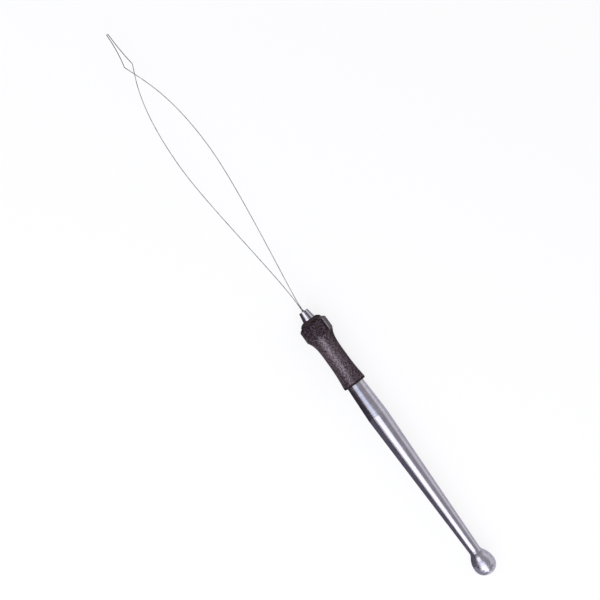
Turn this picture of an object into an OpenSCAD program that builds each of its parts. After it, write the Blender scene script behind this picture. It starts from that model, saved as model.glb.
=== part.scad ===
// Wire loop tool: a slim collet handle that grips a long threading loop of spring wire.
// Millimetres. +X runs along the tool towards the loop and +Z is up. The origin is the middle of
// the hexagon flat that the tool rests on, so the tool's axis lies half a hexagon above it.

/* [Handle] */
// Length of the handle behind the sleeve
handle_len = 91.5; // [70:0.5:130]
// Diameter of the handle where it enters the sleeve
handle_front_d = 7.3; // [6.8:0.1:7.8]
// Diameter at the crest, the widest ring of the grip
crest_d = 8.5; // [8:0.1:11]
// Distance from the sleeve to the crest
crest_dist = 16.6; // [8:0.1:30]
// Diameter of the neck in front of the knob
neck_d = 4.9; // [4:0.1:7]
// Radius of the fillet between the neck and the knob
neck_fillet_r = 2.5; // [1:0.1:6]
// Diameter of the knob at its widest ring
knob_d = 9.2; // [8:0.1:14]
// Radius of the long arc that swells from the neck to the widest ring
knob_swell_r = 9; // [7.1:0.1:14]
// Diameter of the small flat at the end of the knob
knob_flat_d = 2.4; // [1:0.1:5]

/* [Sleeve] */
// Length of the sleeve
sleeve_len = 31.2; // [28:0.1:45]
// Hexagon head, across its flats
hex_af = 11; // [10.5:0.1:14]
// Length of the hexagon's corner edges
hex_len = 4.8; // [3:0.1:8]
// Slope of the chamfer on the front of the hexagon, from the axis
chamfer_angle = 59; // [50:1:70]
// Diameter of the round collar in front of the hexagon
collar_d = 9.3; // [8.4:0.1:10]
// Length of the collar's straight part
collar_len = 0.4; // [0.2:0.1:1]
// Slope of the bevel from the collar to the rim, from the axis
bevel_angle = 53; // [40:1:60]
// How far that bevel bulges
bevel_bulge = 0.13; // [0:0.01:0.2]
// Outer diameter of the flat rim round the nose
rim_d = 6.1; // [5.9:0.1:7]
// Slope behind the hexagon, from the axis
shoulder_angle = 50; // [40:1:55]
// How far that slope is held before it curves into the waist
shoulder_reach = 3.2; // [2.4:0.1:3.8]
// Distance from the front of the sleeve to its waist
waist_dist = 20.1; // [18:0.1:24]
// How far the waist runs straight towards the hexagon before it curves out
waist_front_reach = 5.5; // [3:0.5:10]
// How far the waist runs straight towards the rear rim before it curves out
waist_back_reach = 6.5; // [2:0.5:8]
// Wall of the sleeve at the waist
waist_wall = 0.5; // [0.4:0.05:1.5]
// Wall of the sleeve at the flared rear rim
rear_wall = 1.15; // [0.9:0.05:2.5]
// How far the rear rim runs straight before it curves into the waist
rear_reach = 1.5; // [1:0.5:5]
// Rounding of the rear rim
rear_round = 0.5; // [0.1:0.05:0.8]
// Radial clearance between the sleeve and the handle inside it
sleeve_gap = 0.05; // [0.03:0.01:0.1]

/* [Insert] */
// Depth of the insert behind the front of the sleeve
insert_set = 1; // [0.6:0.1:1.6]
// Width of the insert's front face
insert_lip = 0.4; // [0.3:0.05:0.6]
// Wall of the insert round the thread
insert_wall = 0.55; // [0.4:0.05:0.6]
// Length of thread that the insert shares with the handle
thread_len = 5.8; // [4:0.1:8]
// Radial clearance in the thread, taken at its outer diameter
thread_gap = 0.05; // [0.03:0.01:0.1]
// Width of the groove that keys the insert into the moulding
key_w = 1.6; // [0.8:0.1:3]
// Depth of that groove
key_depth = 0.2; // [0.1:0.05:0.3]

/* [Collet] */
// Diameter of the nose at its front face
nose_d = 3.9; // [3.4:0.1:4.2]
// How far the nose stands out of the sleeve
nose_len = 3.9; // [2.4:0.1:4.6]
// Slope of the closing cone, from the axis
closing_angle = 10.3; // [9:0.1:12]
// Clearance between the closing cone and its seat
cone_gap = 0.05; // [0.03:0.01:0.1]
// Radial clearance with which the head passes the insert's thread
head_gap = 0.37; // [0.3:0.01:0.45]
// Length of the plain land behind the closing cone
land_len = 0.8; // [0.4:0.1:1.5]
// Diameter of the shank
shank_d = 4.2; // [3.6:0.1:4.6]
// Length of the shank
shank_len = 12; // [10:0.5:16]
// Radial clearance of the shank in the handle
shank_gap = 0.03; // [0.02:0.01:0.1]
// Width of the slits between the jaws
slit_w = 0.35; // [0.2:0.05:0.6]
// Length of the slits from the front of the nose
slit_len = 14; // [10:0.5:16]
// Length of the bore that grips the stem of the loop
grip_len = 8; // [5:0.5:10]
// Diameter of the wider bore behind it
relief_d = 2.2; // [1.6:0.1:2.8]

/* [Handle nose] */
// Radial step from the handle's plain front down to its thread
thread_step = 0.15; // [0.1:0.05:0.3]
// Free length between the insert and that step
step_gap = 0.4; // [0.2:0.1:1]
// Free length between the collet's head and the end of the handle
head_space = 0.6; // [0.3:0.1:1.5]
// Chamfer on the end of the thread
thread_chamfer = 0.4; // [0.2:0.1:0.8]
// Width of the relief groove behind the thread
groove_w = 1.2; // [0.8:0.1:2]
// Depth of that groove
groove_depth = 0.35; // [0.2:0.05:0.6]

/* [Loop] */
// Diameter of the spring wire
wire_d = 0.3; // [0.2:0.02:0.4]
// Length over which the two sides run on together, out of the stem
join_len = 3; // [0:0.5:6]
// Angle at which the wide side then turns off the axis
wide_start_angle = 6.5; // [0:0.5:8]
// Angle at which the narrow side then turns off the axis
narrow_start_angle = 0; // [0:0.5:8]
// How far each side keeps that angle before it curves
start_reach = 14.5; // [10:0.5:28]
// Distance from the nose to the widest part of the bow
bow_dist = 73.7; // [58:0.1:82]
// How far the widest part runs straight towards the stem
rise_reach = 18.7; // [10:0.1:30]
// How far the widest part runs straight towards the crossing
fall_reach = 23.7; // [10:0.1:26]
// Reach of the bow's wide side from the axis
bow_wide = 8.1; // [5:0.05:12]
// Reach of the bow's narrow side from the axis
bow_narrow = 6.5; // [5:0.05:12]
// Distance from the nose to the crossing of the strands
cross_dist = 114.3; // [105:0.1:140]
// How far the strands run straight before they cross
cross_reach = 6; // [2:0.5:10]
// Sideways set of the crossing, towards the wide side
cross_set = 0.55; // [0:0.05:1.5]
// Free space between the strands where they cross
cross_gap = 0.15; // [0.1:0.05:0.5]
// Distance from the crossing to the widest part of the eye
eye_dist = 4.25; // [4:0.05:8]
// How much further out one of the eye's two bends lies
eye_skew = 0.5; // [0:0.1:1]
// Width of the eye between its bends
eye_w = 3.6; // [2:0.05:5]
// Length of strand that is rounded on each side of a bend
bend_trim = 0.3; // [0.2:0.1:1]
// Distance from the crossing to the tip
eye_len = 19.2; // [15:0.1:30]
// Width of the closed tip, between the strands' centres
tip_w = 0.7; // [0.6:0.05:1.2]
// Sideways set of the tip, towards the wide side
tip_set = 0.9; // [0:0.05:1.5]

/* [Stem] */
// Least wall of the crimped stem beside the wires
stem_wall = 0.1; // [0.08:0.01:0.2]
// Length of the stem
stem_len = 12; // [10.5:0.5:14]
// How far the stem stands out of the nose
stem_out = 0.5; // [0.3:0.1:1.5]
// Radial clearance of the stem in the collet
stem_gap = 0.02; // [0.01:0.01:0.04]
// Free space between the two wires inside the stem
leg_gap = 0.05; // [0.02:0.01:0.1]
// Clearance round the wires inside the stem
wire_gap = 0.02; // [0.01:0.01:0.03]
// How far the wires stop short of the back of the stem
tail_set = 0.3; // [0.1:0.1:1]
// Chamfer on the ends of the stem
stem_chamfer = 0.06; // [0.02:0.02:0.08]

/* [Hidden] */
$fn = 96;
// Overlap of cutting tools past the face that they open
cut = 1;
// Straight pieces in a curved stretch of a turned profile, and in the sleeve's short bevel
profile_steps = 14;
bevel_steps = 5;

// Diameters and radii that follow from the driving sizes
axis_h = hex_af / 2;
hex_r = hex_af / 2 / cos(30);
collar_r = collar_d / 2;
rim_r = rim_d / 2;
handle_r = handle_front_d / 2;
sleeve_bore_r = handle_r + sleeve_gap;
waist_r = sleeve_bore_r + waist_wall;
rear_r = sleeve_bore_r + rear_wall;
thread_r = handle_r - thread_step;
thread_bore_r = thread_r + thread_gap;
insert_r = thread_bore_r + insert_wall;
head_r = thread_r - head_gap;
nose_r = nose_d / 2;
shank_r = shank_d / 2;
leg_pitch = wire_d + leg_gap;
wire_bore_w = leg_pitch + wire_d + 2 * wire_gap;
wire_bore_h = wire_d + 2 * wire_gap;
stem_r = wire_bore_w / 2 + stem_wall;
stem_bore_r = stem_r + stem_gap;
neck_r = neck_d / 2;
crest_r = crest_d / 2;
knob_r = knob_d / 2;
knob_flat_r = knob_flat_d / 2;

// Stations along X, from the front of the sleeve forwards and back
hex_back_x = -hex_len / 2;
collar_back_x = hex_len / 2 + (hex_r - collar_r) / tan(chamfer_angle);
bevel_x = collar_back_x + collar_len;
front_x = bevel_x + (collar_r - rim_r) / tan(bevel_angle);
rear_x = front_x - sleeve_len;
waist_x = front_x - waist_dist;
nose_x = front_x + nose_len;
cone_x = nose_x - (head_r - nose_r) / tan(closing_angle);
land_x = cone_x - land_len;
head_back_x = land_x - (head_r - shank_r);
shank_x = head_back_x - shank_len;
thread_x = head_back_x - head_space;
insert_x = front_x - insert_set;
insert_back_x = thread_x - thread_len;
step_x = insert_back_x - step_gap;
crest_x = rear_x - crest_dist;
end_x = rear_x - handle_len;
stem_x = nose_x + stem_out;
stem_back_x = stem_x - stem_len;
tip_x = nose_x + cross_dist + eye_len - tip_w / 2 - wire_d / 2;

// Radial opening of the seat, so that the clearance is square to the cone
seat_gap = cone_gap / cos(closing_angle);

// The knob: centre of the ball, centre of the swelling arc and centre of the neck's fillet
knob_x = end_x + sqrt(knob_r * knob_r - knob_flat_r * knob_flat_r);
swell_c = [knob_r - knob_swell_r, knob_x];
fillet_rise = neck_r + neck_fillet_r - swell_c[0];
fillet_run = sqrt(pow(knob_swell_r + neck_fillet_r, 2) - fillet_rise * fillet_rise);
fillet_c = [neck_r + neck_fillet_r, knob_x + fillet_run];
fillet_angle = atan2(fillet_run, fillet_rise);

// Radius of the closing cone at a station
function cone_r(x) = nose_r + (nose_x - x) * tan(closing_angle);

// Points along an arc about c, a cubic and a parabola, each without its first point
function arc(c, r, a0, a1, n) =
    [for (i = [1:n]) let (a = a0 + (a1 - a0) * i / n) c + r * [cos(a), sin(a)]];
function on_cubic(p, t) =
    pow(1 - t, 3) * p[0] + 3 * pow(1 - t, 2) * t * p[1] + 3 * (1 - t) * t * t * p[2] + pow(t, 3) * p[3];
function cubic(p, n) = [for (i = [1:n]) on_cubic(p, i / n)];
function on_parabola(p, t) = pow(1 - t, 2) * p[0] + 2 * (1 - t) * t * p[1] + t * t * p[2];
function parabola(p, t0, n) = [for (i = [1:n]) on_parabola(p, t0 + (1 - t0) * i / n)];
function unit(v) = v / norm(v);
function reversed(list) = [for (i = [len(list) - 1:-1:0]) list[i]];
function rest(list) = [for (i = [1:len(list) - 1]) list[i]];

// Turns an outline of [radius, x] points about the tool's axis
module turned(outline) {
    translate([0, 0, axis_h])
        rotate([0, 90, 0])
            rotate_extrude()
                polygon(outline);
}

// A straight round hole on the tool's axis
module axial_hole(x0, x1, r) {
    translate([x0, 0, axis_h])
        rotate([0, 90, 0])
            cylinder(h = x1 - x0, r = r);
}

// Outline of the handle: flat and ball, swelling arc, fillet, neck, crest, plain front, groove, thread
function handle_outline() = concat(
    [[0, end_x], [knob_flat_r, end_x]],
    arc([0, knob_x], knob_r, atan2(end_x - knob_x, knob_flat_r), 0, profile_steps),
    arc(swell_c, knob_swell_r, 0, fillet_angle, profile_steps),
    arc(fillet_c, neck_fillet_r, 180 + fillet_angle, 180, profile_steps),
    [
        [crest_r, crest_x],
        [handle_r, rear_x],
        [handle_r, step_x],
        [thread_r - groove_depth, step_x],
        [thread_r - groove_depth, step_x + groove_w - groove_depth],
        [thread_r, step_x + groove_w],
        [thread_r, thread_x - thread_chamfer],
        [thread_r - thread_chamfer, thread_x],
        [0, thread_x]
    ]);

module handle() {
    color("silver")
        difference() {
            turned(handle_outline());
            axial_hole(shank_x, thread_x + cut, shank_r + shank_gap);
        }
}

// How far the chamfer and the shoulder run past the hexagon's corners before the hexagon is cut
corner_spare = 0.3;

// Outside of the sleeve before the hexagon is cut: rim, bulging bevel, collar, chamfer, shoulder, waist
// and flared rear rim
function sleeve_outline() = let (
        spare_r = hex_r + corner_spare,
        rim = [rim_r, front_x],
        bevel_end = [collar_r, bevel_x],
        bevel_out = [cos(bevel_angle), sin(bevel_angle)],
        bevel = [rim, (rim + bevel_end) / 2 + 2 * bevel_bulge * bevel_out, bevel_end],
        chamfer_x = collar_back_x - (spare_r - collar_r) / tan(chamfer_angle),
        slope = [-sin(shoulder_angle), -cos(shoulder_angle)],
        shoulder = [hex_r, hex_back_x],
        waist = [waist_r, waist_x],
        rear = [rear_r, rear_x + rear_round],
        fall = [shoulder, shoulder + slope * shoulder_reach, waist + [0, waist_front_reach], waist],
        flare = [waist, waist - [0, waist_back_reach], rear + [0, rear_reach], rear])
    concat(
        [[0, front_x], rim],
        parabola(bevel, 0, bevel_steps),
        [[collar_r, collar_back_x], [spare_r, chamfer_x]],
        [shoulder - slope * corner_spare / sin(shoulder_angle)],
        [shoulder],
        cubic(fall, profile_steps),
        cubic(flare, profile_steps),
        arc([rear_r - rear_round, rear_x + rear_round], rear_round, 0, -90, profile_steps),
        [[0, rear_x]]);

// Outside of the insert, which is also the hollow that it fills in the moulded sleeve
function insert_outline() = let (
        front_r = cone_r(insert_x) + seat_gap + insert_lip,
        key_x = (insert_x + insert_back_x) / 2)
    [
        [0, insert_x],
        [front_r, insert_x],
        [insert_r, insert_x - (insert_r - front_r) / tan(bevel_angle)],
        [insert_r, key_x + key_w / 2],
        [insert_r - key_depth, key_x + key_w / 2],
        [insert_r - key_depth, key_x - key_w / 2],
        [insert_r, key_x - key_w / 2],
        [insert_r, insert_back_x],
        [0, insert_back_x]
    ];

// The hollow through the sleeve's lip and the insert: closing cone, then thread
module closing_hollow() {
    seat_back_x = nose_x - (thread_bore_r - seat_gap - nose_r) / tan(closing_angle);
    turned([
        [0, front_x + cut],
        [cone_r(front_x + cut) + seat_gap, front_x + cut],
        [thread_bore_r, seat_back_x],
        [thread_bore_r, insert_back_x - cut],
        [0, insert_back_x - cut]
    ]);
}

module chuck_sleeve() {
    color([0.2, 0.17, 0.18])
        difference() {
            intersection() {
                turned(sleeve_outline());
                translate([rear_x - cut, 0, axis_h])
                    rotate([0, 90, 0])
                        rotate(30)
                            cylinder(h = sleeve_len + 2 * cut, r = hex_r, $fn = 6);
            }
            turned(insert_outline());
            closing_hollow();
            axial_hole(rear_x - cut, insert_back_x + cut, sleeve_bore_r);
        }
}

module sleeve_insert() {
    color("goldenrod")
        difference() {
            turned(insert_outline());
            closing_hollow();
        }
}

// Collet: closing cone, land, shank, stem bore with relief, and two crossed slits
module collet() {
    color("gainsboro")
        difference() {
            turned([
                [0, nose_x],
                [nose_r, nose_x],
                [head_r, cone_x],
                [head_r, land_x],
                [shank_r, head_back_x],
                [shank_r, shank_x],
                [0, shank_x]
            ]);
            axial_hole(nose_x - grip_len - cut, nose_x + cut, stem_bore_r);
            axial_hole(shank_x - cut, nose_x - grip_len, relief_d / 2);
            for (turn = [0, 90])
                translate([nose_x - slit_len, 0, axis_h])
                    rotate([turn, 0, 0])
                        translate([0, -head_r - cut, -slit_w / 2])
                            cube([slit_len + cut, 2 * (head_r + cut), slit_w]);
        }
}

// Crimped stem with one flat bore for both wires
module loop_ferrule() {
    color("slategray")
        difference() {
            turned([
                [0, stem_x],
                [stem_r - stem_chamfer, stem_x],
                [stem_r, stem_x - stem_chamfer],
                [stem_r, stem_back_x + stem_chamfer],
                [stem_r - stem_chamfer, stem_back_x],
                [0, stem_back_x]
            ]);
            translate([stem_back_x - cut, -wire_bore_w / 2, axis_h - wire_bore_h / 2])
                cube([stem_len + 2 * cut, wire_bore_w, wire_bore_h]);
        }
}

// Counts of straight pieces in the wire's stretches, and of sides round it
leg_steps = 22;
bend_steps = 3;
eye_steps = 10;
tip_steps = 8;
wire_sides = 8;

// Route of one leg of the wire, side 1 or -1 in Y. It runs beside the other leg, turns off, swells to
// its reach, falls to the crossing and runs on to a bend of the eye on the other side. Where the legs
// cross, level 1 passes over level -1.
function leg_route(side, reach, start_angle, level, skew) = let (
        root = [stem_x + join_len, side * leg_pitch / 2, 0],
        start = [cos(start_angle), side * sin(start_angle), 0],
        peak = [nose_x + bow_dist, side * reach, 0],
        lift = [0, 0, level * (wire_d + cross_gap) / 2],
        crossing = [nose_x + cross_dist, -cross_set, 0] + lift,
        bend = crossing + [eye_dist + skew / 2, -side * eye_w / 2, 0] - lift / 2,
        through = unit([eye_dist + skew / 2, -side * eye_w / 2, 0]),
        tip = [tip_x, -tip_set - side * tip_w / 2, 0],
        before_bend = bend - bend_trim * unit(bend - crossing),
        eye = [bend, [(bend[0] + tip[0]) / 2, tip[1], 0], tip],
        trim = bend_trim / (2 * norm(eye[1] - bend)))
    concat(
        [[stem_back_x + tail_set, root[1], 0], root],
        cubic([root, root + start_reach * start, peak - [rise_reach, 0, 0], peak], leg_steps),
        cubic([peak, peak + [fall_reach, 0, 0], crossing - cross_reach * through, crossing], leg_steps),
        [before_bend],
        parabola([before_bend, bend, on_parabola(eye, trim)], 0, bend_steps),
        parabola(eye, trim, eye_steps));

// The tight turn at the tip, which joins the two legs
function tip_route() =
    [for (p = arc([tip_x, -tip_set], tip_w / 2, -90, 90, tip_steps)) [p[0], p[1], 0]];

// The whole wire, from one end in the stem round the tip to the other. The wide leg lies at -Y.
function wire_route() = concat(
    leg_route(1, bow_narrow, narrow_start_angle, -1, -eye_skew),
    tip_route(),
    rest(reversed(leg_route(-1, bow_wide, wide_start_angle, 1, eye_skew))));

// Sweeps a round section along a route that never points straight up
module swept_wire(route, r, sides) {
    last = len(route) - 1;
    rings = [
        for (i = [0:last]) let (
                ahead = unit(route[min(i + 1, last)] - route[max(i - 1, 0)]),
                across = unit(cross([0, 0, 1], ahead)),
                up = cross(ahead, across))
            for (k = [0:sides - 1]) let (a = 360 * k / sides)
                route[i] + r * (cos(a) * across + sin(a) * up)
    ];
    walls = [
        for (i = [0:last - 1])
            for (k = [0:sides - 1]) let (
                    a = i * sides + k,
                    b = i * sides + (k + 1) % sides)
                each [[a, a + sides, b], [b, a + sides, b + sides]]
    ];
    caps = [
        for (k = [1:sides - 2])
            each [[0, k, k + 1], [last * sides, last * sides + k + 1, last * sides + k]]
    ];
    polyhedron(rings, concat(walls, caps), convexity = 10);
}

module loop_wire() {
    color("dimgray")
        translate([0, 0, axis_h])
            swept_wire(wire_route(), wire_d / 2, wire_sides);
}

handle();
chuck_sleeve();
sleeve_insert();
collet();
loop_ferrule();
loop_wire();
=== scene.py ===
"""Looks for the wire loop tool: a slim collet handle that grips a long threading loop of spring wire.

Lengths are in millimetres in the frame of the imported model, and MM turns them into metres for Blender.
+X runs to the loop, +Z is up, and the tool's axis lies AXIS_H above the floor. A station is a place along X.
Angles are in radians unless a comment says degrees.
"""

import math

import bmesh
import bpy
from mathutils import Matrix, Vector


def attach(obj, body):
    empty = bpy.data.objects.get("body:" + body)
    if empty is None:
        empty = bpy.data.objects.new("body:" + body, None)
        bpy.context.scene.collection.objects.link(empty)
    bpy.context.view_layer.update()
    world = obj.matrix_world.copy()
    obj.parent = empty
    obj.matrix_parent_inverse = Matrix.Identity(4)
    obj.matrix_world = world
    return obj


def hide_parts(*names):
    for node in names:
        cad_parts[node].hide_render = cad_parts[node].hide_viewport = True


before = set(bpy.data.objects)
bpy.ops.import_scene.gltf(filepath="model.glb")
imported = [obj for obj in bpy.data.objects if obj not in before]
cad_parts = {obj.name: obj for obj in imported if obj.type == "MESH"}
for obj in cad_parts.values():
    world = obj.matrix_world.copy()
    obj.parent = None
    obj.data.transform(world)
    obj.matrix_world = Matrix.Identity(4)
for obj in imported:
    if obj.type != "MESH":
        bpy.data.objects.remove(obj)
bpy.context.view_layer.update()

MM = 0.001

# Sleeve
AXIS_H = 5.5
HEX_FLAT = 5.5
HEX_R = HEX_FLAT / math.cos(math.radians(30))
HEX_FRONT_X = 2.4
HEX_BACK_X = -2.4
# Before its flats are cut the head is drawn HEX_SPARE past its corners at its ends, and HEX_CROWN further
# on the rings that lie HEX_INSET or more from the ends
HEX_SPARE = 0.3
HEX_CROWN = 0.4
HEX_INSET = 1.2
CHAMFER_SLOPE = math.tan(math.radians(59))
# From this radius outwards the chamfer's rings lie close together
CHAMFER_FINE_R = HEX_FLAT - 0.1
COLLAR_R = 4.65
COLLAR_W = 0.4
COLLAR_FRONT_ROUND = 0.15
COLLAR_BACK_ROUND = 0.08
BEVEL_ANGLE = math.radians(53)
BEVEL_BULGE = 0.13
RIM_R = 3.05
RIM_ROUND = 0.12
COLLAR_BACK_X = HEX_FRONT_X + (HEX_R - COLLAR_R) / CHAMFER_SLOPE
BEVEL_X = COLLAR_BACK_X + COLLAR_W
FRONT_X = BEVEL_X + (COLLAR_R - RIM_R) / math.tan(BEVEL_ANGLE)
REAR_X = FRONT_X - 31.2
SHOULDER_ANGLE = math.radians(50)
SHOULDER_REACH = 3.2
# Share of the shoulder's curve that has its rings close together
SHOULDER_FINE = 0.18
WAIST_X = FRONT_X - 20.1
WAIST_R = 4.2
WAIST_FRONT_REACH = 5.5
WAIST_BACK_REACH = 6.5
REAR_R = 4.85
REAR_REACH = 1.5
REAR_ROUND = 0.5
SLEEVE_BORE_R = 3.7
SLEEVE_BORE_CHAMFER = 0.2
LIP_DEPTH = 0.08
LIP_FLARE = 0.05
# Degrees from a corner of the hexagon at which the sleeve's rings have points
CORNER_STEPS = (0, 0.35, 0.7, 1.1, 1.6, 2.3, 3.5, 5.5, 8.5, 12.5, 17.5, 23.5)
# The higher this power, the sharper the moulded edges of the hexagon
EDGE_POWER = 80
# The lower this power, the wider the pale rubbed line along those edges, which is partly a painted highlight
RUB_POWER = 40
# How much each edge is rubbed pale, partly as a painted highlight, and how dark its line of painted shade is,
# from the upper left one round towards +Y
EDGE_RUB_AND_SHADE = (0.05, 0.5, 0.6, 0.4, 0.5, 1.0)
# Degrees past a corner between which a line of painted shade lies along the rubbed edge
SHADE_LINE_START = 4
SHADE_LINE_END = 9

# Collet
NOSE_X = FRONT_X + 3.9
NOSE_R = 1.95
NOSE_ROUND = 0.14
CLOSING_SLOPE = math.tan(math.radians(10.3))
SEAT_GAP = 0.051
HEAD_R = 3.13
HEAD_ROUND = 0.2
HEAD_X = NOSE_X - (HEAD_R - NOSE_R) / CLOSING_SLOPE
LAND_X = HEAD_X - 0.8
SHANK_R = 2.1
HEAD_BACK_X = LAND_X - (HEAD_R - SHANK_R)
SHANK_X = HEAD_BACK_X - 12
SLIT_W = 0.35
SLIT_X = NOSE_X - 14
JAW_OVERLAP = 0.2
STEM_BORE_R = 0.465
COLLET_CHAMFER = 0.15
RELIEF_R = 1.1
RELIEF_X = NOSE_X - 8

# Thread, insert and its key
THREAD_R = 3.5
THREAD_X = HEAD_BACK_X - 0.6
THREAD_CHAMFER = 0.4
INSERT_X = FRONT_X - 1
INSERT_R = 4.1
INSERT_WALL = 0.4
INSERT_FRONT_R = NOSE_R + (NOSE_X - INSERT_X) * CLOSING_SLOPE + SEAT_GAP + INSERT_WALL
INSERT_BACK_X = THREAD_X - 5.8
KEY_R = 3.9
KEY_HALF_W = 0.8

# Handle
HANDLE_R = 3.65
HANDLE_CHAMFER = 0.1
CREST_R = 4.25
CREST_X = REAR_X - 15.1
CREST_ROUND = 0.1
# Shares of the way from the crest to the ends of its cones, for rings that keep their shading straight
CREST_BEHIND = (0.97, 0.5, 0.12, 0.03, 0.006)
CREST_AHEAD = (0.025, 0.12, 0.5, 0.97)
END_X = REAR_X - 91.5
NECK_R = 2.45
NECK_FILLET_R = 2.5
KNOB_R = 4.6
KNOB_FLAT_R = 1.2
KNOB_FLAT_ROUND = 0.3
KNOB_SWELL_R = 9
KNOB_X = END_X + math.sqrt(KNOB_R**2 - KNOB_FLAT_R**2)
STEP_X = INSERT_BACK_X - 0.4
GROOVE_R = 3.15
GROOVE_W = 1.2
HANDLE_BORE_R = 2.13

# Loop
WIRE_R = 0.15
STEM_X = NOSE_X + 0.5
WIRE_TAIL_X = STEM_X - 12 + 0.3
LEG_PITCH = 0.35
JOIN_X = STEM_X + 3
START_REACH = 14.5
BOW_X = NOSE_X + 73.7
RISE_REACH = 18.7
FALL_REACH = 23.7
BOW_WIDE = 8.1
BOW_NARROW = 6.5
WIDE_ANGLE = math.radians(6.5)
NARROW_ANGLE = 0
CROSS_X = NOSE_X + 114.3
CROSS_REACH = 6
CROSS_SET = 0.55
CROSS_LIFT = 0.225
EYE_DIST = 4.25
EYE_SKEW = 0.5
EYE_W = 3.6
BEND_TRIM = 0.3
TIP_W = 0.7
TIP_X = CROSS_X + 19.2 - TIP_W / 2 - WIRE_R
TIP_SET = 0.9

# Points round each piece and steps along its curves
HANDLE_SIDES = 128
SHANK_SIDES = 64
WIRE_SIDES = 14
JAW_STEPS = 16
BALL_STEPS = 22
SWELL_STEPS = 16
NECK_STEPS = 14
BEVEL_STEPS = 10
CHAMFER_STEPS = 4
CHAMFER_FINE_STEPS = 36
DROP_STEPS = 6
SHOULDER_FINE_STEPS = 36
SHOULDER_STEPS = 40
FLARE_STEPS = 24
REAR_STEPS = 7
BOW_STEPS = 70
BEND_STEPS = 8
EYE_STEPS = 36
TIP_STEPS = 16

# Metals: a pale and a deep colour that the finish runs between
ALUMINIUM = ((0.59, 0.575, 0.62), (0.45, 0.435, 0.48))
NICKEL = ((0.54, 0.525, 0.57), (0.47, 0.455, 0.50))
BRASS = ((0.74, 0.57, 0.28), (0.66, 0.48, 0.22))
SPRING_STEEL = ((0.55, 0.535, 0.535), (0.13, 0.125, 0.125))
STEM_STEEL = ((0.06, 0.055, 0.055), (0.03, 0.028, 0.028))
STEEL_SOIL = (0.012, 0.011, 0.011)

# Moulding: the low spots of its grain, the same where fingers hold it, its high spots, and its marks: pale
# specks, painted shade at the rear rim and beside the head's edges, a darker brown front bevel, and pale
# rubbed edges that are partly a painted highlight
GRAIN_LOW = (0.003, 0.001, 0.002)
GRAIN_LOW_HELD = (0.007, 0.002, 0.004)
GRAIN_HIGH = (0.036, 0.023, 0.028)
SPECK = (0.26, 0.24, 0.25)
# Colour of the painted shade at the rear rim, where the handle meets it, and in the line beside the head's
# edges
PAINTED_SHADE = (0.014, 0.010, 0.010)
# A darker brown for the front bevel
BEVEL_BROWN = (0.052, 0.033, 0.033)
# Pale colour of the rubbed edges, partly a painted highlight, strongest on the upper right edge
RUBBED_EDGE_AND_HIGHLIGHT = (0.48, 0.44, 0.46)
# Tint of its reflections on the low and the high spots
SHEEN = ((0.088, 0.072, 0.08), (0.352, 0.288, 0.32))
SHEEN_HELD = ((0.336, 0.272, 0.296), (0.928, 0.776, 0.824))
# Dimmer reflections on the front bevel and where the rear rim and the edge lines carry painted shade
SHEEN_DULL = (0.048, 0.04, 0.036)

# Camera
# Width of the picture at the tool
PHOTO_WIDTH = 235.9
SENSOR_WIDTH = 36
CAMERA_AWAY = 900
CAMERA_TILT = math.radians(17.5)
# Direction of the tool in the picture from the loop to the knob, across and down
CAMERA_TURN = (0.58319, 0.81234)
# Station at the middle of the picture, and how far that middle lies beside the tool's axis
AIM_X = 13.269
AIM_SIDE = 1.6

# Studio
FLOOR_HALF = 3000
FLOOR_GLOW = 0.81
FLOOR_PAPER = (0.2, 0.2, 0.2)
WALL = (0.97, 0.96, 0.99)
SHADED_WALL = (0.43, 0.41, 0.45)
DAYLIGHT = (0.86, 0.90, 1.0)
BLUE_DAYLIGHT = (0.62, 0.74, 1.0)
PALE_DAYLIGHT = (0.92, 0.94, 1.0)
# Watts for each square metre of a pane at level 1, which gives it a radiance of 4 / pi
PANE_POWER = 4
# Distance of the upper panes from the tool's axis
PANE_AWAY = 500
# Panes at the upper left: name, first and last station, lean in degrees, height, level, colour
UPPER_PANES = (
    ("pane_rear", -1300, -72, 32.5, 430, 1.5, DAYLIGHT),
    ("pane_low", -1300, -190, 63, 190, 0.95, DAYLIGHT),
    ("pane_middle", -72, 95, 34, 265, 0.76, BLUE_DAYLIGHT),
    ("pane_front", 95, 440, 39, 330, 1.1, PALE_DAYLIGHT),
)
# Pane past the knob: name, middle, directions of its two sides, width, height, level, colour
END_PANE = ("pane_end", (-900, 270, 190), Vector((0, -1, 0)), Vector((0, 0, 1)), 440, 320, 2.6, DAYLIGHT)
# Height of the cards' flat part, and how much paler their pale spots are
CARD_LIFT = 0.1
CARD_PALE = 1.3
# Cards on the floor: name, first and last station, near and far side, height of the far edge, colour
CARDS = (
    ("card_nose", 3.5, 120, 3, 160, 50, (0.08, 0.068, 0.085)),
    ("card_hexagon", -9, 3.5, 3, 160, 50, (0.48, 0.43, 0.46)),
    ("card_waist", -25, -9, 3, 160, 75, (0.32, 0.29, 0.31)),
    ("card_middle", -42.5, -25, 3, 160, 74, (0.05, 0.042, 0.055)),
    ("card_rear", -112, -42.5, 3, 160, 54, (0.145, 0.13, 0.16)),
    ("card_neck", -150, -112, 60, 160, 56, (0.12, 0.11, 0.135)),
    ("card_right_front", -4, 20, -3, -160, 28, (0.60, 0.57, 0.60)),
    ("card_right_waist", -24, -4, -3, -30, 40, (0.22, 0.19, 0.21)),
    ("card_right_rear", -150, -24, -3, -160, 28, (0.67, 0.65, 0.69)),
    ("card_ahead", 20, 200, 3, -120, 28, (0.10, 0.085, 0.08)),
    ("card_end", -400, -112, 3, 60, 0.2, (0.36, 0.34, 0.38)),
)


# Curves


def arc(centre, radius, start, end, steps):
    """Points along an arc in the plane of an outline, without the first one."""
    angles = [start + (end - start) * i / steps for i in range(1, steps + 1)]
    return [(centre[0] + radius * math.cos(a), centre[1] + radius * math.sin(a)) for a in angles]


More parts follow.
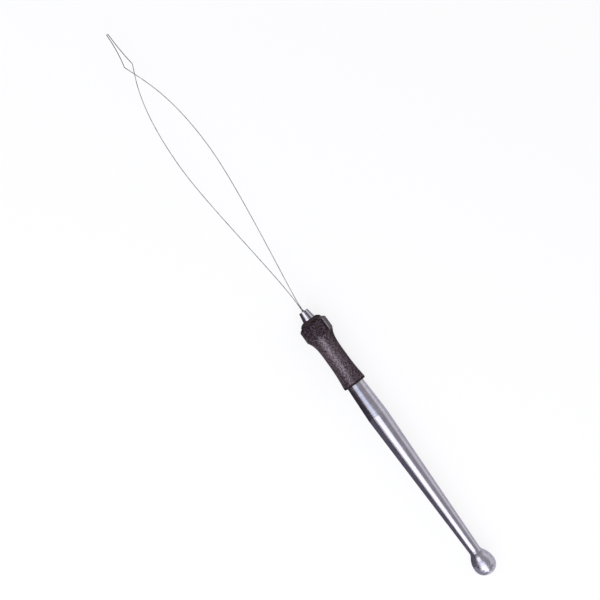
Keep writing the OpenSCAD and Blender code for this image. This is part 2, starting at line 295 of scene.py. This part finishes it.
def bezier_point(points, t):
    """The point at share t of a Bezier curve of any order."""
    level = [Vector(p) for p in points]
    while len(level) > 1:
        level = [a.lerp(b, t) for a, b in zip(level, level[1:])]
    return level[0]


def bezier(points, steps, start=0.0, end=1.0):
    """Points along a Bezier curve from share start to share end, without the first one."""
    return [bezier_point(points, start + (end - start) * i / steps) for i in range(1, steps + 1)]


def softened(before, corner, after, trim, steps=4):
    """A corner of an outline, rounded over the length trim on each side."""
    before, corner, after = Vector(before), Vector(corner), Vector(after)
    first = corner + (before - corner).normalized() * trim
    last = corner + (after - corner).normalized() * trim
    return [first] + bezier([first, corner, last], steps)


def soft_outline(corners, trims):
    """An outline through corners. A trim for a corner's number rounds it, and the others stay sharp."""
    made = [corners[0]]
    for i in range(1, len(corners) - 1):
        before, corner, after = corners[i - 1 : i + 2]
        made += softened(before, corner, after, trims[i]) if i in trims else [corner]
    return made + [corners[-1]]


# Meshes


def mesh_object(name, points, faces, sharp_angle=28):
    """A smooth object of points in millimetres, with edges sharper than sharp_angle degrees kept crisp."""
    mesh = bpy.data.meshes.new(name)
    mesh.from_pydata([Vector(p) * MM for p in points], [], faces)
    work = bmesh.new()
    work.from_mesh(mesh)
    bmesh.ops.recalc_face_normals(work, faces=work.faces)
    work.to_mesh(mesh)
    work.free()
    mesh.shade_smooth()
    mesh.set_sharp_from_angle(angle=math.radians(sharp_angle))
    made = bpy.data.objects.new(name, mesh)
    bpy.context.scene.collection.objects.link(made)
    return made


def ring_faces(rings, closed=False, first=0):
    """Faces between rings of equally many points. A ring of one point is a pole."""
    starts = []
    for ring in rings:
        starts.append(first)
        first += len(ring)
    pairs = [(i, i + 1) for i in range(len(rings) - 1)]
    if closed:
        pairs.append((len(rings) - 1, 0))
    faces = []
    for a, b in pairs:
        count = max(len(rings[a]), len(rings[b]))
        for k in range(count):
            nxt = (k + 1) % count
            corners = [
                starts[a] + k % len(rings[a]),
                starts[a] + nxt % len(rings[a]),
                starts[b] + nxt % len(rings[b]),
                starts[b] + k % len(rings[b]),
            ]
            faces.append(list(dict.fromkeys(corners)))
    return faces


def joined(rings):
    """The points of all rings in one list."""
    return [p for ring in rings for p in ring]


def around(r, x, angle):
    """The point at radius r and an angle from straight up, towards +Y, about the tool's axis."""
    return Vector((x, r * math.sin(angle), AXIS_H + r * math.cos(angle)))


def even_angles(sides):
    """Angles of equally spaced points round a full turn."""
    return [2 * math.pi * k / sides for k in range(sides)]


def turned_rings(outline, angles):
    """Rings for an outline of [r, x] points, where r 0 makes a pole."""
    return [[around(r, x, a) for a in angles] if r > 0 else [around(0, x, 0)] for r, x in outline]


# Pieces


def make_handle():
    """Turned handle from the knob to the bore: ball with a flat end, swell, neck, crest, front and thread."""
    swell = (KNOB_R - KNOB_SWELL_R, KNOB_X)
    rise = NECK_R + NECK_FILLET_R - swell[0]
    run = math.sqrt((KNOB_SWELL_R + NECK_FILLET_R) ** 2 - rise**2)
    fillet = (NECK_R + NECK_FILLET_R, KNOB_X + run)
    turn = math.atan2(run, rise)
    flat_angle = math.atan2(END_X - KNOB_X, KNOB_FLAT_R)
    ball = arc((0, KNOB_X), KNOB_R, flat_angle, 0, BALL_STEPS)
    flat_edge = softened((0, END_X), (KNOB_FLAT_R, END_X), ball[1], KNOB_FLAT_ROUND)
    knob = [(0, END_X)] + flat_edge + ball[2:] + arc(swell, KNOB_SWELL_R, 0, turn, SWELL_STEPS)
    neck = arc(fillet, NECK_FILLET_R, math.pi + turn, math.pi, NECK_STEPS)
    top = Vector((CREST_R, CREST_X))
    rear_end = Vector(neck[-1])
    front_end = Vector((HANDLE_R, REAR_X))
    behind = [top.lerp(rear_end, share) for share in CREST_BEHIND]
    ahead = [top.lerp(front_end, share) for share in CREST_AHEAD]
    crest = behind + softened(rear_end, top, front_end, CREST_ROUND) + ahead
    front = [
        (HANDLE_R, REAR_X),
        (HANDLE_R, STEP_X + HANDLE_CHAMFER),
        (HANDLE_R - HANDLE_CHAMFER, STEP_X),
        (GROOVE_R, STEP_X),
        (GROOVE_R, STEP_X + GROOVE_W - (THREAD_R - GROOVE_R)),
        (THREAD_R, STEP_X + GROOVE_W),
        (THREAD_R, THREAD_X - THREAD_CHAMFER),
        (THREAD_R - THREAD_CHAMFER, THREAD_X),
        (HANDLE_BORE_R + HANDLE_CHAMFER, THREAD_X),
        (HANDLE_BORE_R, THREAD_X - HANDLE_CHAMFER),
        (HANDLE_BORE_R, SHANK_X),
        (0, SHANK_X),
    ]
    rings = turned_rings(knob + neck + crest + front, even_angles(HANDLE_SIDES))
    return mesh_object("handle_turned", joined(rings), ring_faces(rings))


def hex_angles():
    """Angles round the hexagon, closer together at its corners. A flat faces straight up."""
    made = []
    for corner in range(30, 390, 60):
        made += [corner - a for a in reversed(CORNER_STEPS[1:])]
        made += [corner + a for a in CORNER_STEPS] + [corner + 30]
    return [math.radians(a) for a in made]


def hex_ring(r, x, angles):
    """A ring of the sleeve, cut by the hexagon's flats, and for each point how rubbed and pale it is, partly
    a painted highlight, with a line of painted shade below zero.
    """
    points, rubs_and_shade = [], []
    for angle in angles:
        slopes = [HEX_FLAT / r] + [max(math.cos(angle - math.radians(60 * k)), 0) for k in range(6)]
        total = sum(slope**EDGE_POWER for slope in slopes)
        points.append(around(HEX_FLAT * total ** (-1 / EDGE_POWER), x, angle))
        flats = [slope**RUB_POWER for slope in slopes[1:]]
        edge, past = divmod(math.degrees(angle) % 360, 60)
        # Just past each corner a thin line of painted shade lies on the flat, stored below zero
        shade_line = SHADE_LINE_START < past - 30 < SHADE_LINE_END
        whole = min(max((r - HEX_FLAT) / (HEX_R - HEX_FLAT), 0), 1)
        rubs_and_shade.append((2 * (1 - max(flats) / sum(flats)) - shade_line) * EDGE_RUB_AND_SHADE[int(edge)] * whole)
    return points, rubs_and_shade


def sleeve_front(spare_r):
    """Front of the sleeve: rim, bulging bevel, collar and the chamfer out to radius spare_r."""
    rim = Vector((RIM_R, FRONT_X))
    collar = Vector((COLLAR_R, BEVEL_X))
    collar_back = (COLLAR_R, COLLAR_BACK_X)
    bulge = (rim + collar) / 2 + 2 * BEVEL_BULGE * Vector((math.cos(BEVEL_ANGLE), math.sin(BEVEL_ANGLE)))
    bevel = bezier([rim, bulge, collar], BEVEL_STEPS)
    wide = CHAMFER_FINE_R - COLLAR_R
    radii = [COLLAR_R + wide * i / CHAMFER_STEPS for i in range(1, CHAMFER_STEPS + 1)]
    fine = spare_r - CHAMFER_FINE_R
    radii += [CHAMFER_FINE_R + fine * i / CHAMFER_FINE_STEPS for i in range(1, CHAMFER_FINE_STEPS + 1)]
    chamfer = [(r, COLLAR_BACK_X - (r - COLLAR_R) / CHAMFER_SLOPE) for r in radii]
    made = softened((RIM_R - 1, FRONT_X), rim, bevel[1], RIM_ROUND) + bevel[1:-2]
    made += softened(bevel[-3], collar, collar_back, COLLAR_FRONT_ROUND)
    made += softened(collar, collar_back, chamfer[0], COLLAR_BACK_ROUND)
    return made + chamfer


def sleeve_outline():
    """Outside of the sleeve before the hexagon is cut, from the front rim to the rear rim."""
    spare_r = HEX_R + HEX_SPARE
    flats = [(spare_r + HEX_CROWN, x) for x in (HEX_FRONT_X - HEX_INSET, 0, HEX_BACK_X + HEX_INSET)]
    shoulder = Vector((HEX_R, HEX_BACK_X))
    slope = Vector((-math.sin(SHOULDER_ANGLE), -math.cos(SHOULDER_ANGLE)))
    top = shoulder - slope * HEX_SPARE / math.sin(SHOULDER_ANGLE)
    drop = [top.lerp(shoulder, i / DROP_STEPS) for i in range(DROP_STEPS + 1)]
    waist = Vector((WAIST_R, WAIST_X))
    rear = Vector((REAR_R, REAR_X + REAR_ROUND))
    fall = [shoulder, shoulder + slope * SHOULDER_REACH, waist + Vector((0, WAIST_FRONT_REACH)), waist]
    flare = [waist, waist - Vector((0, WAIST_BACK_REACH)), rear + Vector((0, REAR_REACH)), rear]
    body = drop + bezier(fall, SHOULDER_FINE_STEPS, 0, SHOULDER_FINE)
    body += bezier(fall, SHOULDER_STEPS, SHOULDER_FINE, 1) + bezier(flare, FLARE_STEPS)
    edge = arc((REAR_R - REAR_ROUND, REAR_X + REAR_ROUND), REAR_ROUND, 0, -math.pi / 2, REAR_STEPS)
    return sleeve_front(spare_r) + flats + body + edge


def sleeve_hollow():
    """Inside of the sleeve, from the rear rim to the front: bore, seat of the keyed insert, and lip."""
    key_x = (INSERT_X + INSERT_BACK_X) / 2
    lip_r = NOSE_R + SEAT_GAP + (NOSE_X - FRONT_X) * CLOSING_SLOPE
    return [
        (SLEEVE_BORE_R + SLEEVE_BORE_CHAMFER, REAR_X),
        (SLEEVE_BORE_R, REAR_X + SLEEVE_BORE_CHAMFER),
        (SLEEVE_BORE_R, INSERT_BACK_X),
        (INSERT_R, INSERT_BACK_X),
        (INSERT_R, key_x - KEY_HALF_W),
        (KEY_R, key_x - KEY_HALF_W),
        (KEY_R, key_x + KEY_HALF_W),
        (INSERT_R, key_x + KEY_HALF_W),
        (INSERT_R, INSERT_X - (INSERT_R - INSERT_FRONT_R) / math.tan(BEVEL_ANGLE)),
        (INSERT_FRONT_R, INSERT_X),
        (lip_r + (FRONT_X - INSERT_X) * CLOSING_SLOPE, INSERT_X),
        (lip_r, FRONT_X - LIP_DEPTH),
        (lip_r + LIP_FLARE, FRONT_X),
    ]


def make_sleeve():
    """Moulded sleeve: bevelled collar, hexagon head, shoulder, waist, flared rear rim, and its hollow."""
    angles = hex_angles()
    rings, rub_and_shade = [], []
    for r, x in sleeve_outline():
        points, rubs_and_shade = hex_ring(r, x, angles)
        rings.append(points)
        rub_and_shade += rubs_and_shade
    hollow = turned_rings(sleeve_hollow(), angles)
    rub_and_shade += [0] * (len(hollow) * len(angles))
    rings += hollow
    made = mesh_object("chuck_sleeve_moulded", joined(rings), ring_faces(rings, closed=True), sharp_angle=50)
    # Each point's pale rub, partly a painted highlight, and below zero its line of painted shade
    layer = made.data.attributes.new("edge_rub_and_painted_shade", "FLOAT", "POINT")
    layer.data.foreach_set("value", rub_and_shade)
    return made


def make_collet():
    """Split collet: four jaws with the closing cone and the stem bore, and the shank behind the slits."""
    corners = [
        (STEM_BORE_R + 2 * COLLET_CHAMFER, NOSE_X),
        (NOSE_R, NOSE_X),
        (HEAD_R, HEAD_X),
        (HEAD_R, LAND_X),
        (SHANK_R, HEAD_BACK_X),
        (SHANK_R, SLIT_X),
        (RELIEF_R, SLIT_X),
        (RELIEF_R, RELIEF_X),
        (STEM_BORE_R, RELIEF_X),
        (STEM_BORE_R, NOSE_X - COLLET_CHAMFER),
        (STEM_BORE_R + COLLET_CHAMFER, NOSE_X),
    ]
    jaw = soft_outline(corners, {1: NOSE_ROUND, 2: HEAD_ROUND, 3: HEAD_ROUND})
    count = len(jaw)
    points, faces = [], []
    for quarter in range(4):
        first = len(points)
        for i in range(JAW_STEPS + 1):
            for r, x in jaw:
                side = math.asin(SLIT_W / 2 / r)
                angle = side + (math.pi / 2 - 2 * side) * i / JAW_STEPS + quarter * math.pi / 2
                points.append(around(r, x, angle))
        for i in range(JAW_STEPS):
            for k in range(count):
                a = first + i * count + k
                b = first + i * count + (k + 1) % count
                faces.append([a, b, b + count, a + count])
        faces.append([first + k for k in range(count)])
        faces.append([first + JAW_STEPS * count + k for k in reversed(range(count))])
    shank = [
        (SHANK_R, SLIT_X + JAW_OVERLAP),
        (SHANK_R, SHANK_X + COLLET_CHAMFER),
        (SHANK_R - COLLET_CHAMFER, SHANK_X),
        (RELIEF_R, SHANK_X),
        (RELIEF_R, SLIT_X + JAW_OVERLAP),
    ]
    rings = turned_rings(shank, even_angles(SHANK_SIDES))
    faces += ring_faces(rings, closed=True, first=len(points))
    return mesh_object("collet_jaws", points + joined(rings), faces)


def leg_route(side, reach, angle, level, skew):
    """Route of one leg of the wire, from its end in the stem to the tip, with z 0 on the tool's axis.

    Side is 1 or -1 in Y, and level is 1 for the leg that passes over at the crossing or -1 for the other.
    """
    root = Vector((JOIN_X, side * LEG_PITCH / 2, 0))
    start = Vector((math.cos(angle), side * math.sin(angle), 0))
    peak = Vector((BOW_X, side * reach, 0))
    lift = Vector((0, 0, level * CROSS_LIFT))
    crossing = Vector((CROSS_X, -CROSS_SET, 0)) + lift
    step = Vector((EYE_DIST + skew / 2, -side * EYE_W / 2, 0))
    bend = crossing + step - lift / 2
    tip = Vector((TIP_X, -TIP_SET - side * TIP_W / 2, 0))
    before_bend = bend - (bend - crossing).normalized() * BEND_TRIM
    eye = [bend, Vector(((bend.x + tip.x) / 2, tip.y, 0)), tip]
    trim = BEND_TRIM / (2 * (eye[1] - bend).length)
    rise = [root, root + start * START_REACH, peak - Vector((RISE_REACH, 0, 0)), peak]
    fall = [peak, peak + Vector((FALL_REACH, 0, 0)), crossing - step.normalized() * CROSS_REACH, crossing]
    return (
        [Vector((WIRE_TAIL_X, root.y, 0)), root]
        + bezier(rise, BOW_STEPS)
        + bezier(fall, BOW_STEPS)
        + [crossing.lerp(before_bend, 0.5), before_bend]
        + bezier([before_bend, bend, bezier_point(eye, trim)], BEND_STEPS)
        + bezier(eye, EYE_STEPS, trim)
    )


def wire_route():
    """The whole wire, from one end in the stem round the tip to the other end."""
    out = leg_route(1, BOW_NARROW, NARROW_ANGLE, -1, -EYE_SKEW)
    back = leg_route(-1, BOW_WIDE, WIDE_ANGLE, 1, EYE_SKEW)
    turn = arc((TIP_X, -TIP_SET), TIP_W / 2, -math.pi / 2, math.pi / 2, TIP_STEPS)
    return out + [Vector((x, y, 0)) for x, y in turn] + back[-2::-1]


def make_wire():
    """The loop: one smooth round wire swept along its route."""
    axis = Vector((0, 0, AXIS_H))
    route = wire_route()
    rings = [[route[0] + axis]]
    for i, point in enumerate(route):
        ahead = (route[min(i + 1, len(route) - 1)] - route[max(i - 1, 0)]).normalized()
        across = Vector((0, 0, 1)).cross(ahead).normalized()
        up = ahead.cross(across)
        spokes = [across * math.cos(a) + up * math.sin(a) for a in even_angles(WIRE_SIDES)]
        rings.append([point + axis + WIRE_R * spoke for spoke in spokes])
    rings.append([route[-1] + axis])
    return mesh_object("loop_wire_drawn", joined(rings), ring_faces(rings), sharp_angle=60)


# Nodes


def add(tree, kind, inputs=None, **settings):
    """A new node with its settings and its inputs, each a socket to link or a value."""
    made = tree.nodes.new(kind)
    for key, value in settings.items():
        setattr(made, key, value)
    for key, value in (inputs or {}).items():
        if isinstance(value, bpy.types.NodeSocket):
            tree.links.new(value, made.inputs[key])
        else:
            made.inputs[key].default_value = value
    return made


def rgb(colour):
    """A colour as a shader socket takes it."""
    return (*colour, 1.0)


def principled(name):
    """A new material: its node tree, its shader and the coordinates of the piece in the tool's frame."""
    made = bpy.data.materials.new(name)
    made.use_nodes = True
    tree = made.node_tree
    shader = tree.nodes["Principled BSDF"]
    return made, tree, shader, add(tree, "ShaderNodeTexCoord").outputs["Object"]


def noise(tree, place, per_mm, detail=3.0, roughness=0.5):
    """Noise whose grain repeats per_mm times in a millimetre, given as one number or one for each axis."""
    scale = per_mm if isinstance(per_mm, tuple) else (per_mm,) * 3
    mapped = add(tree, "ShaderNodeMapping", {"Vector": place, "Scale": [s / MM for s in scale]})
    inputs = {"Vector": mapped.outputs["Vector"], "Scale": 1.0, "Detail": detail, "Roughness": roughness}
    return add(tree, "ShaderNodeTexNoise", inputs).outputs["Fac"]


def spread(tree, value, low, high, start=0.0, end=1.0):
    """Maps a value from start..end to low..high, held at both ends."""
    inputs = {"Value": value, "From Min": start, "From Max": end, "To Min": low, "To Max": high}
    return add(tree, "ShaderNodeMapRange", inputs).outputs["Result"]


def along_tool(tree, station, low, high, start, end):
    """Runs from low at the station start to high at the station end, both in millimetres."""
    return spread(tree, station, low, high, start * MM, end * MM)


def stations(tree, place):
    """The place along the tool, for along_tool()."""
    return add(tree, "ShaderNodeSeparateXYZ", {"Vector": place}).outputs["X"]


def mixed(tree, factor, first, second):
    """A colour between two colours, each a socket or a plain colour."""
    made = add(tree, "ShaderNodeMix", data_type="RGBA")
    tree.links.new(factor, made.inputs[0])
    for socket, value in ((made.inputs[6], first), (made.inputs[7], second)):
        if isinstance(value, bpy.types.NodeSocket):
            tree.links.new(value, socket)
        else:
            socket.default_value = rgb(value)
    return made.outputs[2]


def math_node(tree, operation, first, second):
    """The result of one operation on two values."""
    return add(tree, "ShaderNodeMath", {0: first, 1: second}, operation=operation).outputs["Value"]


def bump(tree, height, strength, depth_mm, normal=None):
    """The normal of a surface with a height map on it, over an earlier normal if there is one."""
    inputs = {"Height": height, "Strength": strength, "Distance": depth_mm * MM}
    if normal is not None:
        inputs["Normal"] = normal
    return add(tree, "ShaderNodeBump", inputs).outputs["Normal"]


# Materials


def turned_metal(name, pale, deep, roughness, lathe_bump):
    """Bare metal off a lathe: fine rings, coarser ones on the knob, polishing lines and handling marks."""
    made, tree, shader, place = principled(name)
    station = stations(tree, place)
    coarse = noise(tree, place, (1.7, 0.03, 0.03), detail=1.0)
    on_knob = along_tool(tree, station, 1.0, 0.12, KNOB_X + 2, KNOB_X + 6)
    coarse = math_node(tree, "MULTIPLY", coarse, on_knob)
    marks = noise(tree, place, (1.3, 0.12, 0.12), detail=2.0, roughness=0.7)
    rings = noise(tree, place, (9.0, 0.25, 0.25), detail=2.0)
    lines = noise(tree, place, (0.03, 4.5, 4.5), detail=2.0)
    smudge = noise(tree, place, 0.22, detail=4.0, roughness=0.6)

    ahead_of_crest = along_tool(tree, station, 0.25, 0.7, CREST_X - 1, CREST_X)
    marks = math_node(tree, "MULTIPLY", spread(tree, marks, 0.0, 1.0, 0.35, 0.65), ahead_of_crest)
    tone = math_node(tree, "ADD", marks, spread(tree, smudge, 0.0, 0.35, 0.35, 0.65))
    tree.links.new(mixed(tree, tone, deep, pale), shader.inputs["Base Color"])

    dulled = spread(tree, smudge, roughness - 0.03, roughness + 0.04, 0.35, 0.65)
    polished = spread(tree, lines, 0.0, 0.04, 0.45, 0.75)
    scored = spread(tree, coarse, 0.0, 0.12, 0.4, 0.6)
    gloss = math_node(tree, "ADD", math_node(tree, "ADD", dulled, polished), scored)
    tree.links.new(gloss, shader.inputs["Roughness"])

    turned = bump(tree, coarse, 0.5, 0.14)
    tree.links.new(bump(tree, rings, lathe_bump, 0.004, turned), shader.inputs["Normal"])
    tangent = add(tree, "ShaderNodeTangent", direction_type="RADIAL", axis="X")
    tree.links.new(tangent.outputs["Tangent"], shader.inputs["Tangent"])
    shader.inputs["Metallic"].default_value = 1.0
    shader.inputs["Anisotropic"].default_value = 0.4
    return made


def grained_moulding(name):
    """Dark moulded sleeve: glossy purple-black grain, pale specks, pale rubbed edges that are partly a
    painted highlight, painted shade at the rear rim and beside the head's edges, and a darker brown front
    bevel.
    """
    made, tree, shader, place = principled(name)
    station = stations(tree, place)
    grain = noise(tree, place, 2.1, detail=1.5)
    specks = noise(tree, place, 1.9, detail=1.0)
    mottle = spread(tree, grain, 0.0, 1.0, 0.42, 0.58)

    # Where the fingers polish it; where it is darker and duller: painted shade at the rear rim and beside the
    # head's edges, and a brown front bevel; and where the head's edges are rubbed pale, partly as a painted
    # highlight
    held = along_tool(tree, station, 1.0, 0.0, WAIST_X + 6.5, WAIST_X + 12)
    held = math_node(tree, "MULTIPLY", held, along_tool(tree, station, 0.55, 1.0, REAR_X + 3, REAR_X + 8))
    front = along_tool(tree, station, 0.0, 1.0, BEVEL_X - 0.6, BEVEL_X + 0.2)
    # Painted shade at the rear rim, where the handle meets the sleeve
    rear = along_tool(tree, station, 1.0, 0.0, REAR_X + 0.5, REAR_X + 1.2)
    rub_and_shade = add(tree, "ShaderNodeAttribute", attribute_name="edge_rub_and_painted_shade").outputs["Fac"]
    # The line of painted shade beside the head's edges
    shade_line = spread(tree, rub_and_shade, 1.0, 0.0, -1.0, 0.0)
    # Darker and duller where shade is painted at the rear rim and beside the edges, and on the front bevel
    dull_and_shaded = math_node(tree, "MAXIMUM", math_node(tree, "MAXIMUM", front, rear), shade_line)
    uneven = spread(tree, grain, 0.6, 1.0, 0.35, 0.6)
    # Pale rubbed edges, partly a painted highlight
    rubbed_and_highlight = math_node(tree, "MULTIPLY", spread(tree, rub_and_shade, 0.0, 1.0), uneven)

    base = mixed(tree, mottle, mixed(tree, held, GRAIN_LOW, GRAIN_LOW_HELD), GRAIN_HIGH)
    base = mixed(tree, spread(tree, specks, 0.0, 0.9, 0.66, 0.74), base, SPECK)
    # Colour where it is darker: painted shade at the rear rim and the edge lines, and brown at the front
    # bevel
    shade_and_bevel_colour = mixed(tree, front, PAINTED_SHADE, BEVEL_BROWN)
    base = mixed(tree, math_node(tree, "MULTIPLY", dull_and_shaded, 0.8), base, shade_and_bevel_colour)
    tree.links.new(mixed(tree, rubbed_and_highlight, base, RUBBED_EDGE_AND_HIGHLIGHT), shader.inputs["Base Color"])

    gloss = spread(tree, grain, 0.28, 0.38, 0.3, 0.7)
    gloss = math_node(tree, "ADD", gloss, math_node(tree, "MULTIPLY", dull_and_shaded, 0.4))
    tree.links.new(gloss, shader.inputs["Roughness"])
    tree.links.new(bump(tree, grain, 0.8, 0.12), shader.inputs["Normal"])
    sheen = mixed(tree, held, mixed(tree, mottle, *SHEEN), mixed(tree, mottle, *SHEEN_HELD))
    # Dimmer reflections where the shade is painted and on the front bevel
    tree.links.new(mixed(tree, dull_and_shaded, sheen, SHEEN_DULL), shader.inputs["Specular Tint"])
    shader.inputs["IOR"].default_value = 2.0
    shader.inputs["Specular IOR Level"].default_value = 1.0
    return made


def drawn_steel(name, pale, deep, roughness):
    """Drawn steel: die lines along the length and slight tarnish, with soil at the stem and round the eye."""
    made, tree, shader, place = principled(name)
    station = stations(tree, place)
    lines = noise(tree, place, (0.25, 14.0, 14.0), detail=2.0)
    tarnish = noise(tree, place, 0.5)
    at_stem = along_tool(tree, station, 0.6, 0.0, JOIN_X - 1, JOIN_X + 1)
    at_eye = along_tool(tree, station, 0.0, 1.0, CROSS_X, CROSS_X + 6)
    soiled = math_node(tree, "MULTIPLY", math_node(tree, "MAXIMUM", at_stem, at_eye), 0.9)
    tone = mixed(tree, spread(tree, tarnish, 0.0, 1.0, 0.3, 0.7), deep, pale)
    tree.links.new(mixed(tree, soiled, tone, STEEL_SOIL), shader.inputs["Base Color"])
    gloss = spread(tree, lines, roughness - 0.06, roughness + 0.08, 0.3, 0.7)
    tree.links.new(gloss, shader.inputs["Roughness"])
    tree.links.new(bump(tree, lines, 0.3, 0.006), shader.inputs["Normal"])
    shader.inputs["Metallic"].default_value = 1.0
    return made


def dress(piece, material):
    """Gives a piece one material."""
    piece.data.materials.clear()
    piece.data.materials.append(material)


# Studio


def aim(placed, right, up, back, place):
    """Sets an object's place in millimetres and its axes."""
    turn = Matrix((right, up, back)).transposed().to_4x4()
    placed.matrix_world = Matrix.Translation(Vector(place) * MM) @ turn


def make_camera():
    """Long lens at the photo's angle: the tool's axis is square to the view, and the camera leans to +Y."""
    along = Vector((1, 0, 0))
    side = Vector((0, -math.cos(CAMERA_TILT), math.sin(CAMERA_TILT)))
    back = Vector((0, math.sin(CAMERA_TILT), math.cos(CAMERA_TILT)))
    across, down = CAMERA_TURN
    data = bpy.data.cameras.new("camera")
    data.sensor_width = SENSOR_WIDTH
    data.lens = SENSOR_WIDTH * CAMERA_AWAY / PHOTO_WIDTH
    data.clip_start = 0.01
    data.clip_end = 20
    made = bpy.data.objects.new("camera", data)
    bpy.context.scene.collection.objects.link(made)
    target = Vector((AIM_X, 0, AXIS_H)) + side * AIM_SIDE
    aim(made, side * down - along * across, along * down + side * across, back, target + back * CAMERA_AWAY)
    bpy.context.scene.camera = made


def make_pane(name, place, right, up, width, height, level, colour):
    """One pane of the soft window round the tool, given by its middle and the directions of its sides."""
    data = bpy.data.lights.new(name, "AREA")
    data.shape = "RECTANGLE"
    data.size = width * MM
    data.size_y = height * MM
    data.energy = level * PANE_POWER * data.size * data.size_y
    data.color = colour
    made = bpy.data.objects.new(name, data)
    bpy.context.scene.collection.objects.link(made)
    aim(made, right, up, right.cross(up), place)


def make_upper_pane(name, x_low, x_high, lean, height, level, colour):
    """A pane at the upper left between two stations along the tool, lean degrees from straight up."""
    lean = math.radians(lean)
    right = Vector((1, 0, 0))
    back = Vector((0, math.sin(lean), math.cos(lean)))
    place = Vector(((x_low + x_high) / 2, 0, AXIS_H)) + back * PANE_AWAY
    make_pane(name, place, right, back.cross(right), x_high - x_low, height, level, colour)


def make_world():
    """Pale walls beside the tool, with shade above it and past both of its ends."""
    world = bpy.data.worlds.new("studio")
    bpy.context.scene.world = world
    world.use_nodes = True
    tree = world.node_tree
    toward = add(tree, "ShaderNodeTexCoord").outputs["Generated"]
    sides = add(tree, "ShaderNodeSeparateXYZ", {"Vector": toward}).outputs
    above = spread(tree, sides["Z"], 0.0, 1.0, 0.60, 0.75)
    ends = spread(tree, math_node(tree, "POWER", sides["X"], 2.0), 0.0, 1.0, 0.25, 0.55)
    shade = math_node(tree, "MAXIMUM", above, ends)
    tree.links.new(mixed(tree, shade, WALL, SHADED_WALL), tree.nodes["Background"].inputs["Color"])


def make_floor():
    """White floor that keeps the tool's shadow. Part of its white is its own, also as metal sees it."""
    half = FLOOR_HALF
    corners = [(-half, -half, 0), (half, -half, 0), (half, half, 0), (-half, half, 0)]
    floor = mesh_object("floor", corners, [[0, 1, 2, 3]])
    made = bpy.data.materials.new("floor_white")
    made.use_nodes = True
    tree = made.node_tree
    tree.nodes.clear()
    rays = add(tree, "ShaderNodeLightPath").outputs
    seen = math_node(tree, "MAXIMUM", rays["Is Camera Ray"], rays["Is Glossy Ray"])
    seen = math_node(tree, "MAXIMUM", seen, rays["Is Transmission Ray"])
    glow = add(tree, "ShaderNodeEmission", {"Strength": math_node(tree, "MULTIPLY", seen, FLOOR_GLOW)})
    paper = add(tree, "ShaderNodeBsdfDiffuse", {"Color": rgb(FLOOR_PAPER)})
    both = add(tree, "ShaderNodeAddShader", {0: paper.outputs[0], 1: glow.outputs[0]})
    add(tree, "ShaderNodeOutputMaterial", {"Surface": both.outputs[0]})
    dress(floor, made)


def make_card(name, x_low, x_high, near, far, height, colour):
    """A paper card in place of the photo's table, which only reflections see.

    It lies flat from y near to y far, and stands upright at y far, up to height.
    """
    lying = [(x_low, near), (x_high, near), (x_high, far), (x_low, far)]
    points = [(x, y, CARD_LIFT) for x, y in lying] + [(x_high, far, height), (x_low, far, height)]
    card = mesh_object(name, points, [[0, 1, 2, 3], [3, 2, 4, 5]])
    made, tree, shader, place = principled(name + "_paper")
    pale = [CARD_PALE * part for part in colour]
    tree.links.new(mixed(tree, noise(tree, place, 0.02), colour, pale), shader.inputs["Base Color"])
    shader.inputs["Roughness"].default_value = 0.9
    shader.inputs["Specular IOR Level"].default_value = 0.0
    dress(card, made)
    card.visible_camera = False
    card.visible_diffuse = False
    card.visible_shadow = False
    card.visible_transmission = False


# The object


def place_piece(piece, material, node, body):
    """Dresses a piece and puts it in the place of a CAD node, on the node's body."""
    dress(piece, material)
    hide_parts(node)
    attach(piece, body)


make_camera()

aluminium = turned_metal("aluminium_turned", *ALUMINIUM, roughness=0.17, lathe_bump=0.12)
place_piece(make_handle(), aluminium, "handle", "handle")
moulding = grained_moulding("moulding_grained")
place_piece(make_sleeve(), moulding, "chuck_sleeve", "sleeve")
nickel = turned_metal("collet_plated", *NICKEL, roughness=0.19, lathe_bump=0.06)
place_piece(make_collet(), nickel, "collet", "collet")
spring_steel = drawn_steel("wire_drawn", *SPRING_STEEL, roughness=0.35)
place_piece(make_wire(), spring_steel, "loop_wire", "loop")
dress(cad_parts["loop_ferrule"], drawn_steel("stem_crimped", *STEM_STEEL, roughness=0.42))
brass = turned_metal("brass_turned", *BRASS, roughness=0.25, lathe_bump=0.12)
dress(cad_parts["sleeve_insert"], brass)

make_world()
for upper_pane in UPPER_PANES:
    make_upper_pane(*upper_pane)
make_pane(*END_PANE)
make_floor()
for floor_card in CARDS:
    make_card(*floor_card)
bpy.context.scene.view_settings.view_transform = "Standard"
